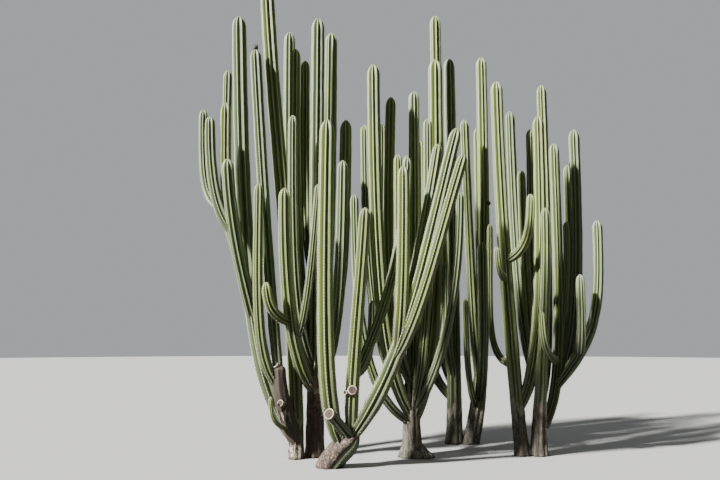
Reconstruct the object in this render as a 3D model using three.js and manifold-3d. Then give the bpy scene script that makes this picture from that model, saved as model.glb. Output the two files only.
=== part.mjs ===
// A candelabra cactus: a clump of ribbed stems, the way it stands in dry ground. Every stem and every arm
// is one tapering limb that leaves its carrier at a slant and bends upright. Millimetres, +Z up, the origin
// under the middle stem at ground level, +X to the right and +Y to the back.
import * as THREE from 'three';
import { mergeVertices } from 'three/addons/utils/BufferGeometryUtils.js';
import Module from 'manifold-3d';

const wasm = await Module();
wasm.setup();

// Driving dimensions
const ribCount = 8;          // ribs round a limb
const valleyDepth = 0.2;     // depth of the valleys between the ribs, as a share of the radius
const barkValleyDepth = 0.05; // the same where a stem has turned to bark, at the ground
const barkHeight = 900;      // a stem's bark fades into green skin over this height
const clearance = 0.45;      // between a limb and the limb that carries or crosses it
const ringsStraight = 2;     // rings along the straightest limb
const degreesPerRing = 42;   // and one more for each of these degrees of bend
const armFoot = 0.84;        // an arm's foot, as a share of its thickness under the tip
const armBelly = 1.14;       // an arm's thickest place, as the same share
const bellyAt = 0.14;        // and how far along the arm it lies
const rootFlare = 1.14;      // a stem's root flare at the ground, as a share of its girth
const flareHeight = 170;     // the flare has run out at this height
const girthHeight = 1300;    // a stem's girth has thinned to its thickness at this height
const buried = 60;           // a stem is modelled this much too long and cut flat at ground level
const shoulderDrop = 0.85;   // a tip's shoulder lies this far under its top, as a share of its thickness
const crownDrop = 0.3;       // the crown ring between shoulder and top, as the same share
const crownWidth = 0.72;     // its radius, as a share of the tip's
const ringGap = 0.3;         // the last ring stays this share of the thickness below the shoulder

// The bend of a limb, as shares of the way from its foot to its tip: the foot's handle goes `spread` of the
// way outwards and `elbow` of the way up, the tip's handle hangs `hold` of the way down and `lean` inwards.
const bend = { spread: 0.8, elbow: 0.12, hold: 0.62, lean: 0.03 };

// Stems stand on the ground at `base`, right and back of the origin. An arm grows out of the limb `on`, at
// the height `from`. `tip` is how far right, back and up the limb reaches. `thick` is its thickness under
// the tip and `girth` a stem's near the ground. `flare` and `belly` replace the usual root flare and belly.
// `fused` arms are small side shoots, one solid with their carrier. `blunt` is how long a stub's tip is, as
// a share of the usual length.
const limbs = {
  front_stem: { base: [-1085, -760], tip: [-700, -860, 420], thick: 260, girth: 300, flare: 1.06,
    spread: 0.12, elbow: 0.4, hold: 0.25, lean: 0.3 },
  left_stem: { base: [-1510, -150], tip: [-2030, -100, 6600], thick: 205, girth: 195, spread: 0.02,
    elbow: 0.33, hold: 0.33, lean: 0.25 },
  left_stem_2: { base: [-1280, 0], tip: [-1290, 0, 6140], thick: 185, girth: 250 },
  middle_stem: { base: [0, 0], tip: [90, 100, 5080], thick: 150, girth: 260, flare: 1.45, spread: 0.1,
    elbow: 0.3 },
  back_stem: { base: [720, 1200], tip: [760, 1250, 6050], thick: 180, girth: 250 },
  back_stem_2: { base: [935, 1180], tip: [1260, 1150, 6030], thick: 165, girth: 250 },
  right_stem: { base: [1480, 90], tip: [1240, -100, 5150], thick: 165, girth: 185, spread: 0.45,
    elbow: 0.3, hold: 0.45, lean: 0 },
  right_stem_2: { base: [1710, 100], tip: [1760, -480, 3260], thick: 125, girth: 225, spread: 0.08,
    elbow: 0.3, hold: 0.45 },

  front_arm_1: { on: 'front_stem', from: 250, tip: [-1100, -1000, 4300], thick: 185, spread: 1.2,
    elbow: 0.08, lean: -0.1 },
  front_arm_2: { on: 'front_stem', from: 330, tip: [-620, -1250, 3120], thick: 145, belly: 1.25, spread: 0,
    elbow: 0.3, hold: 0.35, lean: 0.3 },
  front_arm_3: { on: 'front_stem', from: 290, tip: [510, -1250, 4110], thick: 145, belly: 1.4,
    spread: 0.55, elbow: 0.25, hold: 0.4, lean: 0.3 },
  front_arm_4: { on: 'front_arm_3', from: 1380, tip: [320, -850, 4020], thick: 135, spread: 0.25, elbow: 0.2,
    hold: 0.4, lean: 0.3 },
  front_arm_5: { on: 'front_arm_3', from: 1230, tip: [560, -1450, 3730], thick: 135, spread: 0.4, elbow: 0.2,
    hold: 0.4, lean: 0.36 },
  front_arm_6: { on: 'front_arm_3', from: 1380, tip: [-150, -1150, 3660], thick: 145, spread: 0.6 },
  front_arm_7: { on: 'front_arm_2', from: 1010, tip: [-80, -850, 3850], thick: 115, spread: 0.2, hold: 0.55 },
  front_arm_8: { on: 'front_arm_2', from: 1080, tip: [-525, -650, 2030], thick: 100, fused: true },

  left_stump: { on: 'left_stem', from: 190, tip: [-1740, -380, 1220], thick: 190, blunt: 0.4, spread: 0.5,
    elbow: 0.3, hold: 0.4 },
  left_arm_1: { on: 'left_stump', from: 910, tip: [-2020, -520, 3580], thick: 125, spread: 1 },
  left_arm_2: { on: 'left_stem_2', from: 830, tip: [-1670, -650, 3490], thick: 145, belly: 1.3, spread: 0.6,
    elbow: 0.14 },
  left_arm_3: { on: 'left_arm_2', from: 1760, tip: [-1865, -760, 2255], thick: 120, spread: 0.7,
    fused: true },
  left_arm_4: { on: 'left_stem', from: 230, tip: [-2450, 100, 6220], thick: 215, spread: 0.75, elbow: 0.12,
    hold: 0.5, lean: 0.12 },
  left_arm_5: { on: 'left_stump', from: 1100, tip: [-2140, -300, 5540], thick: 165, belly: 0.95,
    spread: 0.3, elbow: 0.2, hold: 0.4, lean: 0.3 },
  left_arm_6: { on: 'left_arm_4', from: 1700, tip: [-2450, -480, 3930], thick: 160, spread: 0.25,
    elbow: 0.2, hold: 0.45, lean: 0.1 },
  left_arm_7: { on: 'left_arm_6', from: 2930, tip: [-2740, -300, 4570], thick: 140, spread: 0.55 },
  left_arm_8: { on: 'left_arm_7', from: 3280, tip: [-2890, -60, 4750], thick: 115, fused: true },
  left_arm_9: { on: 'left_arm_4', from: 2530, tip: [-2600, 60, 4890], thick: 150 },
  left_arm_10: { on: 'left_arm_9', from: 3030, tip: [-2640, 350, 5490], thick: 130, fused: true },
  left_arm_11: { on: 'left_stump', from: 380, tip: [-1815, -520, 820], thick: 55, fused: true },
  left_arm_12: { on: 'left_stem_2', from: 1630, tip: [-1735, 350, 6090], thick: 160 },
  left_arm_13: { on: 'left_stem_2', from: 1430, tip: [-1625, 130, 5730], thick: 160 },
  left_arm_14: { on: 'left_stem_2', from: 2330, tip: [-1510, 520, 5710], thick: 140 },
  left_arm_15: { on: 'left_stem_2', from: 1130, tip: [-1600, -350, 4570], thick: 125 },
  left_arm_16: { on: 'left_stem_2', from: 1430, tip: [-1110, 330, 6070], thick: 180 },
  left_arm_17: { on: 'left_stem_2', from: 1230, tip: [-890, 350, 4730], thick: 170 },
  left_arm_18: { on: 'left_stem_2', from: 930, tip: [-920, -150, 3990], thick: 155 },
  left_arm_19: { on: 'left_arm_2', from: 1480, tip: [-1220, -750, 3520], thick: 90, spread: 0.45, lean: 0.3 },

  middle_arm_1: { on: 'middle_stem', from: 430, tip: [-760, -480, 3440], thick: 115 },
  middle_arm_2: { on: 'middle_stem', from: 730, tip: [-620, 80, 4570], thick: 120 },
  middle_arm_3: { on: 'middle_stem', from: 530, tip: [-500, -320, 5310], thick: 175 },
  middle_arm_4: { on: 'middle_stem', from: 930, tip: [-250, -120, 4910], thick: 145, spread: 1.1,
    lean: -0.3 },
  middle_arm_5: { on: 'middle_stem', from: 1430, tip: [210, 520, 4460], thick: 115 },
  middle_arm_6: { on: 'middle_stem', from: 630, tip: [240, -300, 4540], thick: 120, spread: 0.7 },
  middle_arm_7: { on: 'middle_stem', from: 430, tip: [390, -20, 5510], thick: 195 },
  middle_arm_8: { on: 'middle_stem', from: 530, tip: [650, -420, 3490], thick: 110, spread: 0.35 },
  middle_arm_9: { on: 'middle_arm_8', from: 1430, tip: [460, -200, 2560], thick: 90, fused: true },
  middle_arm_10: { on: 'middle_arm_4', from: 1500, tip: [-190, -700, 3930], thick: 108 },
  middle_arm_11: { on: 'middle_arm_2', from: 1900, tip: [-350, 600, 4740], thick: 120 },
  middle_arm_12: { on: 'middle_arm_5', from: 2400, tip: [4, 500, 4238], thick: 105, fused: true },

  back_arm_1: { on: 'back_stem', from: 930, tip: [510, 950, 6640], thick: 170 },
  back_arm_2: { on: 'back_stem_2', from: 830, tip: [915, 800, 4880], thick: 135, spread: 0.4, lean: 0.3 },
  back_arm_3: { on: 'back_stem_2', from: 1130, tip: [1280, 1780, 5050], thick: 130 },
  back_arm_4: { on: 'back_stem_2', from: 630, tip: [1097, 550, 2946], thick: 140 },
  back_arm_5: { on: 'back_stem', from: 630, tip: [100, 1550, 4430], thick: 150 },
  back_arm_6: { on: 'back_stem', from: 830, tip: [500, 2050, 4830], thick: 150 },
  back_arm_7: { on: 'back_stem_2', from: 530, tip: [861, 750, 2135], thick: 90 },

  right_arm_1: { on: 'right_stem', from: 2600, tip: [1590, -420, 3460], thick: 110, spread: 0.85,
    elbow: 0.1, hold: 0.6 },
  right_arm_2: { on: 'right_stem_2', from: 900, tip: [1550, 500, 4910], thick: 140 },
  right_arm_3: { on: 'right_stem_2', from: 1000, tip: [1642, 300, 3962], thick: 125 },
  right_arm_9: { on: 'right_stem', from: 600, tip: [1810, -100, 4640], thick: 155 },
  right_arm_4: { on: 'right_stem_2', from: 1330, tip: [1768, 200, 4543], thick: 115, spread: 2.2,
    elbow: 0.1, lean: -0.6 },
  right_arm_5: { on: 'right_stem_2', from: 630, tip: [2115, 800, 5430], thick: 150 },
  right_arm_6: { on: 'right_stem_2', from: 300, tip: [2130, 300, 4360], thick: 145, belly: 1, spread: 1.05,
    elbow: 0.1 },
  right_arm_10: { on: 'right_arm_6', from: 1230, tip: [1660, -500, 1900], thick: 90, fused: true },
  right_arm_15: { on: 'right_arm_6', from: 1650, tip: [2246, 250, 3199], thick: 90, belly: 1, spread: 0.5,
    fused: true },
  right_arm_7: { on: 'right_arm_6', from: 950, tip: [2480, 850, 4180], thick: 130 },
  right_arm_8: { on: 'right_arm_6', from: 880, tip: [2460, 400, 4600], thick: 155 },
  right_arm_12: { on: 'right_arm_6', from: 880, tip: [2585, -50, 3170], thick: 130, spread: 0.85,
    elbow: 0.3, hold: 0.6, lean: 0 },
  right_arm_11: { on: 'right_arm_12', from: 1330, tip: [2255, -250, 2400], thick: 110 },
  right_arm_13: { on: 'right_stem', from: 2330, tip: [1120, -420, 2750], thick: 80, fused: true },
  right_arm_14: { on: 'right_stem', from: 1180, tip: [1258, 750, 3246], thick: 90, spread: 1.5,
    elbow: 0.04, lean: -0.1 },
};

// The point of a limb's centre line at a height
function pointAtHeight(curve, height) {
  let low = 0;
  let high = 1;
  for (let step = 0; step < 30; step += 1) {
    const middle = (low + high) / 2;
    if (curve.getPoint(middle).z < height) low = middle;
    else high = middle;
  }
  return curve.getPoint(low);
}

function centreLine(limb, carrierCurve) {
  const foot = limb.base
    ? new THREE.Vector3(limb.base[0], limb.base[1], -buried)
    : pointAtHeight(carrierCurve, limb.from);
  const tip = new THREE.Vector3(...limb.tip);
  const { spread, elbow, hold, lean } = { ...bend, ...limb };
  const outwards = tip.clone().sub(foot).setZ(0);
  const upwards = new THREE.Vector3(0, 0, tip.z - foot.z);
  const footHandle = foot.clone().addScaledVector(outwards, spread).addScaledVector(upwards, elbow);
  const tipHandle = tip.clone().addScaledVector(outwards, -lean).addScaledVector(upwards, -hold);
  return new THREE.CubicBezierCurve3(foot, footHandle, tipHandle, tip);
}

// Half of a limb's thickness at a distance along its centre line
function radiusAt(limb, distance, length) {
  const tipRadius = limb.thick / 2;
  if (limb.base) {
    const girth = limb.girth / 2;
    const footing = girth * (limb.flare ?? rootFlare);
    if (distance < buried) return footing;
    const height = distance - buried;
    if (height < flareHeight) return THREE.MathUtils.lerp(footing, girth, height / flareHeight);
    const belly = Math.min(girth, tipRadius * armBelly);
    if (height < girthHeight) {
      return THREE.MathUtils.lerp(girth, belly, (height - flareHeight) / (girthHeight - flareHeight));
    }
    return THREE.MathUtils.lerp(belly, tipRadius, (height - girthHeight) / (length - buried - girthHeight));
  }
  const share = distance / length;
  const belly = limb.belly ?? armBelly;
  if (share < bellyAt) return tipRadius * THREE.MathUtils.lerp(armFoot, belly, share / bellyAt);
  return tipRadius * THREE.MathUtils.lerp(belly, 1, (share - bellyAt) / (1 - bellyAt));
}

// Where the rings of a limb lie along its centre line, from its foot to under its shoulder
function ringPlaces(limb, curve, shoulder) {
  const start = curve.getTangent(0);
  const middle = curve.getTangent(0.5);
  const turn = THREE.MathUtils.radToDeg(start.angleTo(middle) + middle.angleTo(curve.getTangent(1)));
  const rings = ringsStraight + Math.round(turn / degreesPerRing);
  const places = curve.getLengths(rings).filter((place) => place < shoulder - limb.thick * ringGap);
  if (limb.base) places.push(buried, buried + flareHeight, buried + girthHeight);
  return places.filter((place) => place < shoulder).sort((a, b) => a - b);
}

// The profile of a limb that stands straight: radius and distance along the centre line
function limbProfile(limb, curve, grow) {
  const length = curve.getLength();
  const tipRadius = limb.thick / 2 + grow;
  const tipLong = limb.thick * (limb.blunt ?? 1);
  const shoulder = length - tipLong * shoulderDrop;
  const profile = [new THREE.Vector2(0, -grow)];
  ringPlaces(limb, curve, shoulder).forEach((place, index) => {
    profile.push(new THREE.Vector2(radiusAt(limb, place, length) + grow, index === 0 ? -grow : place));
  });
  profile.push(new THREE.Vector2(tipRadius, shoulder));
  profile.push(new THREE.Vector2(tipRadius * crownWidth, length - tipLong * crownDrop + grow));
  profile.push(new THREE.Vector2(0, length + grow));
  return profile;
}

// A ribbed limb: a turned profile, bent along the centre line, with every second column pressed in
function limbGeometry(limb, curve, grow = 0) {
  const length = curve.getLength();
  const geometry = new THREE.LatheGeometry(limbProfile(limb, curve, grow), ribCount * 2);
  geometry.deleteAttribute('normal');
  geometry.deleteAttribute('uv');
  const places = geometry.attributes.position;
  const chord = curve.v3.clone().sub(curve.v0).setZ(0);
  const side = new THREE.Vector3(chord.y, -chord.x, 0);
  if (side.length() < 1) side.set(0, -1, 0);
  side.normalize();
  for (let index = 0; index < places.count; index += 1) {
    const x = places.getX(index);
    const z = places.getZ(index);
    const distance = places.getY(index);
    const share = THREE.MathUtils.clamp(distance / length, 0, 1);
    const tangent = curve.getTangentAt(share);
    const front = new THREE.Vector3().crossVectors(tangent, side).normalize();
    const column = Math.round(Math.atan2(z, x) / (Math.PI / ribCount));
    const bark = limb.base ? THREE.MathUtils.clamp(1 - (distance - buried) / barkHeight, 0, 1) : 0;
    const depth = THREE.MathUtils.lerp(valleyDepth, barkValleyDepth, bark);
    const press = Math.abs(column % 2) === 1 ? 1 - depth : 1;
    const place = curve.getPointAt(share)
      .addScaledVector(tangent, distance - share * length)
      .addScaledVector(front, x * press)
      .addScaledVector(side, z * press);
    places.setXYZ(index, place.x, place.y, place.z);
  }
  return geometry;
}

function toSolid(geometry) {
  const merged = mergeVertices(geometry, 0.001);
  const corners = merged.index.array;
  const triangles = [];
  for (let index = 0; index < corners.length; index += 3) {
    const [a, b, c] = corners.slice(index, index + 3);
    if (a !== b && b !== c && a !== c) triangles.push(a, b, c);
  }
  return new wasm.Manifold(new wasm.Mesh({
    numProp: 3,
    vertProperties: merged.attributes.position.array,
    triVerts: new Uint32Array(triangles),
  }));
}

function toGeometry(solid) {
  const { vertProperties, triVerts } = solid.getMesh();
  const geometry = new THREE.BufferGeometry();
  geometry.setAttribute('position', new THREE.BufferAttribute(vertProperties, 3));
  geometry.setIndex(new THREE.BufferAttribute(triVerts, 1));
  geometry.computeVertexNormals();
  return geometry;
}

function largestPiece(solid) {
  return solid.decompose().reduce((largest, piece) => (piece.volume() > largest.volume() ? piece : largest));
}

function boxesMeet(a, b) {
  return [0, 1, 2].every((axis) => a.min[axis] <= b.max[axis] && b.min[axis] <= a.max[axis]);
}

// Everything under the ground, which the stems are cut with
function groundSolid() {
  const size = 20000; // wider than the whole clump
  const box = new THREE.BoxGeometry(size, size, size);
  box.deleteAttribute('normal');
  box.deleteAttribute('uv');
  return toSolid(box.translate(0, 0, -size / 2));
}

// The limbs in order, each cut clear of every limb before it
function buildSolids() {
  const ground = groundSolid();
  const curves = {};
  const solids = {};
  const shells = [];
  for (const [name, limb] of Object.entries(limbs)) {
    curves[name] = centreLine(limb, curves[limb.on]);
    let solid = toSolid(limbGeometry(limb, curves[name]));
    if (limb.base) solid = solid.subtract(ground);
    const owner = limb.fused ? limbs[limb.on].owner ?? limb.on : name;
    limb.owner = owner;
    for (const shell of shells) {
      const inTheWay = shell.owner !== owner && boxesMeet(shell.box, solid.boundingBox());
      if (inTheWay) solid = solid.subtract(shell.solid);
    }
    solid = largestPiece(solid);
    solids[owner] = limb.fused ? largestPiece(solids[owner].add(solid)) : solid;
    const shell = toSolid(limbGeometry(limb, curves[name], clearance));
    shells.push({ owner, solid: shell, box: shell.boundingBox() });
  }
  return { curves, solids };
}

function limbMaterial(limb) {
  return new THREE.MeshStandardMaterial(limb.base
    ? { color: 0x6f6a45, roughness: 0.85, metalness: 0 }
    : { color: 0x7d8f4c, roughness: 0.6, metalness: 0 });
}

// Every limb's mesh has its own origin at the limb's foot
function buildCactus() {
  const { curves, solids } = buildSolids();
  const cactus = new THREE.Group();
  for (const [name, solid] of Object.entries(solids)) {
    const foot = curves[name].v0.clone();
    const geometry = toGeometry(solid).translate(-foot.x, -foot.y, -foot.z);
    const mesh = new THREE.Mesh(geometry, limbMaterial(limbs[name]));
    mesh.name = name;
    mesh.position.copy(foot);
    cactus.add(mesh);
  }
  return cactus;
}

export default buildCactus();
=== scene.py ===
import math
import random

import bmesh
import bpy
import numpy
from mathutils import Euler, Matrix, Vector, noise


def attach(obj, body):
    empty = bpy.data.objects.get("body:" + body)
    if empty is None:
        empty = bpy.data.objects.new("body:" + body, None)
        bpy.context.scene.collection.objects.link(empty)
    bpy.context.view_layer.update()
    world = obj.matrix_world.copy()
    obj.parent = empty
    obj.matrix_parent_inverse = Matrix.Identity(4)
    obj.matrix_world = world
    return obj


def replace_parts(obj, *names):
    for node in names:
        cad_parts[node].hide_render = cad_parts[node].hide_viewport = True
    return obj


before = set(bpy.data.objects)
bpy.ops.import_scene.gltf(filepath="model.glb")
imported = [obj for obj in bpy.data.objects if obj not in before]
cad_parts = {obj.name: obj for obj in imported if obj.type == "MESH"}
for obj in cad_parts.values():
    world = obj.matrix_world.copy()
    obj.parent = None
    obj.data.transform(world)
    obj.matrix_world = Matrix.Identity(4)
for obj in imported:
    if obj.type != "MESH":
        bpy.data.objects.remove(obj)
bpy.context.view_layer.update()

# A candelabra cactus: ribbed columns that branch low and turn upright. Metres, +Z up, the origin under the
# middle stem at ground level. Every limb follows the same curve as its solid.
print("limbs: table and forms")

# the usual bend of a limb, as shares of the way from its foot to its tip
usualBend = {"spread": 0.8, "elbow": 0.12, "hold": 0.62, "lean": 0.03}

limbForm = {
    "ribs": 8,
    "armFoot": 0.84,        # an arm's foot, as a share of its thickness under the tip
    "armBelly": 1.14,       # its thickest place, as the same share
    "bellyAt": 0.14,        # how far along the arm that place lies
    "rootFlare": 1.14,      # a stem's root flare, as a share of its girth
    "flareHeight": 0.17,
    "girthHeight": 1.3,
    "buried": 0.06,         # stems start this far down and are cut flat at the ground
}


# base: its foot, right and back of the origin. tip: right, back and up. thick: its thickness under the tip.
# girth: its thickness at the ground
def stem(base, tip, thick, girth, **more):
    return {"base": base, "tip": tip, "thick": thick, "girth": girth, **more}


# on, fromHeight: the limb that it grows from, and where
def arm(on, fromHeight, tip, thick, **more):
    return {"on": on, "fromHeight": fromHeight, "tip": tip, "thick": thick, **more}


limbs = {
    # front_stem and front_arm_9 are marked old: their skin takes the dark old colour all over, partly aged
    # skin and partly painted shade
    "front_stem": stem((-1.085, -0.76), (-0.70, -0.86, 0.42), 0.26, 0.30, flare=1.06, spread=0.12,
                       elbow=0.4, hold=0.25, lean=0.3, barkSide=(-0.80, -0.30, 0.52), old=True),
    "left_stem": stem((-1.51, -0.15), (-2.03, -0.10, 6.60), 0.205, 0.195, spread=0.02, elbow=0.33,
                      hold=0.33, lean=0.25),
    "left_stem_2": stem((-1.28, 0.0), (-1.29, 0.0, 6.14), 0.185, 0.25, barkHeight=1.7),
    "middle_stem": stem((0.0, 0.0), (0.09, 0.10, 5.08), 0.15, 0.26, flare=1.45, spread=0.1, elbow=0.3,
                        toe=(0.95, -0.3, 0), barkHeight=1.4),
    "back_stem": stem((0.72, 1.20), (0.76, 1.25, 6.05), 0.18, 0.25),
    "back_stem_2": stem((0.935, 1.18), (1.26, 1.15, 6.03), 0.165, 0.25),
    "right_stem": stem((1.48, 0.09), (1.24, -0.10, 5.15), 0.165, 0.185, spread=0.45, elbow=0.3, hold=0.45,
                       lean=0.0, pinches=(2.13,), toe=(1, 0.25, 0), barkHeight=1.2),
    "right_stem_2": stem((1.71, 0.10), (1.76, -0.48, 3.26), 0.125, 0.225, spread=0.08, elbow=0.3, hold=0.45,
                         pinches=(0.49,), barkHeight=1.2),

    "front_arm_1": arm("front_stem", 0.25, (-1.10, -1.00, 4.30), 0.185, spread=1.2, elbow=0.08, lean=-0.1,
                       warm=0.7),
    "front_arm_2": arm("front_stem", 0.33, (-0.62, -1.25, 3.12), 0.145, belly=1.25, spread=0.0, elbow=0.3,
                       hold=0.35, lean=0.3),
    "front_arm_3": arm("front_stem", 0.29, (0.51, -1.25, 4.11), 0.145, belly=1.4, spread=0.55, elbow=0.25,
                       hold=0.4, lean=0.3),
    "front_arm_4": arm("front_arm_3", 1.38, (0.32, -0.85, 4.02), 0.135, spread=0.25, elbow=0.2, hold=0.4,
                       lean=0.3),
    "front_arm_5": arm("front_arm_3", 1.23, (0.56, -1.45, 3.73), 0.135, spread=0.4, elbow=0.2, hold=0.4,
                       lean=0.36),
    "front_arm_6": arm("front_arm_3", 1.38, (-0.15, -1.15, 3.66), 0.145, spread=0.6),
    "front_arm_7": arm("front_arm_2", 1.01, (-0.08, -0.85, 3.85), 0.115, spread=0.2, hold=0.55),
    "front_arm_8": arm("front_arm_2", 1.08, (-0.525, -0.65, 2.03), 0.10, fusedWith="front_arm_2"),
    "front_arm_9": arm("front_stem", 0.34, (-1.035, -1.06, 0.66), 0.135, spread=0.35, elbow=0.3, hold=0.35,
                       lean=0.35, tipLong=0.12, old=True, fusedWith="front_arm_1"),

    "left_stump": arm("left_stem", 0.19, (-1.74, -0.38, 1.22), 0.19, spread=0.5, elbow=0.3, hold=0.4,
                      woody=True, tipLong=0.42),
    "left_arm_1": arm("left_stump", 0.91, (-2.02, -0.52, 3.58), 0.125, spread=1.0),
    "left_arm_2": arm("left_stem_2", 0.83, (-1.67, -0.65, 3.49), 0.145, belly=1.3, spread=0.6, elbow=0.14),
    "left_arm_3": arm("left_arm_2", 1.76, (-1.865, -0.76, 2.255), 0.12, spread=0.7, fusedWith="left_arm_2"),
    "left_arm_4": arm("left_stem", 0.23, (-2.45, 0.10, 6.22), 0.215, spread=0.75, elbow=0.12, hold=0.5,
                      lean=0.12),
    "left_arm_5": arm("left_stump", 1.10, (-2.14, -0.30, 5.54), 0.165, belly=0.95, spread=0.3, elbow=0.2,
                      hold=0.4, lean=0.3),
    "left_arm_6": arm("left_arm_4", 1.70, (-2.45, -0.48, 3.93), 0.16, spread=0.25, elbow=0.2, hold=0.45,
                      lean=0.1),
    "left_arm_7": arm("left_arm_6", 2.93, (-2.74, -0.30, 4.57), 0.14, spread=0.55),
    "left_arm_8": arm("left_arm_7", 3.28, (-2.89, -0.06, 4.75), 0.115, fusedWith="left_arm_7"),
    "left_arm_9": arm("left_arm_4", 2.53, (-2.60, 0.06, 4.89), 0.15),
    "left_arm_10": arm("left_arm_9", 3.03, (-2.64, 0.35, 5.49), 0.13, fusedWith="left_arm_9"),
    "left_arm_11": arm("left_stump", 0.38, (-1.815, -0.52, 0.82), 0.055, fusedWith="left_stump"),
    "left_arm_12": arm("left_stem_2", 1.63, (-1.735, 0.35, 6.09), 0.16),
    "left_arm_13": arm("left_stem_2", 1.43, (-1.625, 0.13, 5.73), 0.16),
    "left_arm_14": arm("left_stem_2", 2.33, (-1.51, 0.52, 5.71), 0.14),
    "left_arm_15": arm("left_stem_2", 1.13, (-1.60, -0.35, 4.57), 0.125),
    "left_arm_16": arm("left_stem_2", 1.43, (-1.11, 0.33, 6.07), 0.18),
    "left_arm_17": arm("left_stem_2", 1.23, (-0.89, 0.35, 4.73), 0.17),
    "left_arm_18": arm("left_stem_2", 0.93, (-0.92, -0.15, 3.99), 0.155),
    "left_arm_19": arm("left_arm_2", 1.48, (-1.22, -0.75, 3.52), 0.09, spread=0.45, lean=0.3),

    "middle_arm_1": arm("middle_stem", 0.43, (-0.76, -0.48, 3.44), 0.115),
    "middle_arm_2": arm("middle_stem", 0.73, (-0.62, 0.08, 4.57), 0.12),
    "middle_arm_3": arm("middle_stem", 0.53, (-0.50, -0.32, 5.31), 0.175),
    "middle_arm_4": arm("middle_stem", 0.93, (-0.25, -0.12, 4.91), 0.145, spread=1.1, lean=-0.3),
    "middle_arm_5": arm("middle_stem", 1.43, (0.21, 0.52, 4.46), 0.115),
    "middle_arm_6": arm("middle_stem", 0.63, (0.24, -0.30, 4.54), 0.12, spread=0.7),
    "middle_arm_7": arm("middle_stem", 0.43, (0.39, -0.02, 5.51), 0.195),
    "middle_arm_8": arm("middle_stem", 0.53, (0.65, -0.42, 3.49), 0.11, spread=0.35),
    "middle_arm_9": arm("middle_arm_8", 1.43, (0.46, -0.20, 2.56), 0.09, fusedWith="middle_arm_8"),
    "middle_arm_10": arm("middle_arm_4", 1.50, (-0.19, -0.70, 3.93), 0.108),
    "middle_arm_11": arm("middle_arm_2", 1.90, (-0.35, 0.60, 4.74), 0.12),
    "middle_arm_12": arm("middle_arm_5", 2.40, (0.004, 0.50, 4.238), 0.105, fusedWith="middle_arm_5"),

    "back_arm_1": arm("back_stem", 0.93, (0.51, 0.95, 6.64), 0.17),
    "back_arm_2": arm("back_stem_2", 0.83, (0.915, 0.80, 4.88), 0.135, spread=0.4, lean=0.3),
    "back_arm_3": arm("back_stem_2", 1.13, (1.28, 1.78, 5.05), 0.13),
    "back_arm_4": arm("back_stem_2", 0.63, (1.097, 0.55, 2.946), 0.14),
    "back_arm_5": arm("back_stem", 0.63, (0.10, 1.55, 4.43), 0.15),
    "back_arm_6": arm("back_stem", 0.83, (0.50, 2.05, 4.83), 0.15),
    "back_arm_7": arm("back_stem_2", 0.53, (0.861, 0.75, 2.135), 0.09),

    "right_arm_1": arm("right_stem", 2.60, (1.59, -0.42, 3.46), 0.11, spread=0.85, elbow=0.1, hold=0.6),
    "right_arm_2": arm("right_stem_2", 0.90, (1.55, 0.50, 4.91), 0.14),
    "right_arm_3": arm("right_stem_2", 1.00, (1.642, 0.30, 3.962), 0.125),
    "right_arm_9": arm("right_stem", 0.60, (1.81, -0.10, 4.64), 0.155),
    "right_arm_4": arm("right_stem_2", 1.33, (1.768, 0.20, 4.543), 0.115, spread=2.2, elbow=0.1, lean=-0.6),
    "right_arm_5": arm("right_stem_2", 0.63, (2.115, 0.80, 5.43), 0.15),
    "right_arm_6": arm("right_stem_2", 0.30, (2.13, 0.30, 4.36), 0.145, belly=1.0, spread=1.05, elbow=0.1),
    "right_arm_10": arm("right_arm_6", 1.23, (1.66, -0.50, 1.90), 0.09, fusedWith="right_arm_6"),
    "right_arm_15": arm("right_arm_6", 1.65, (2.246, 0.25, 3.199), 0.09, belly=1.0, spread=0.5,
                        fusedWith="right_arm_6"),
    "right_arm_7": arm("right_arm_6", 0.95, (2.48, 0.85, 4.18), 0.13),
    "right_arm_8": arm("right_arm_6", 0.88, (2.46, 0.40, 4.60), 0.155),
    "right_arm_12": arm("right_arm_6", 0.88, (2.585, -0.05, 3.17), 0.13, spread=0.85, elbow=0.3, hold=0.6,
                        lean=0.0),
    "right_arm_11": arm("right_arm_12", 1.33, (2.255, -0.25, 2.40), 0.11),
    "right_arm_13": arm("right_stem", 2.33, (1.12, -0.42, 2.75), 0.08, fusedWith="right_stem"),
    "right_arm_14": arm("right_stem", 1.18, (1.258, 0.75, 3.246), 0.09, spread=1.5, elbow=0.04, lean=-0.1),
}

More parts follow.
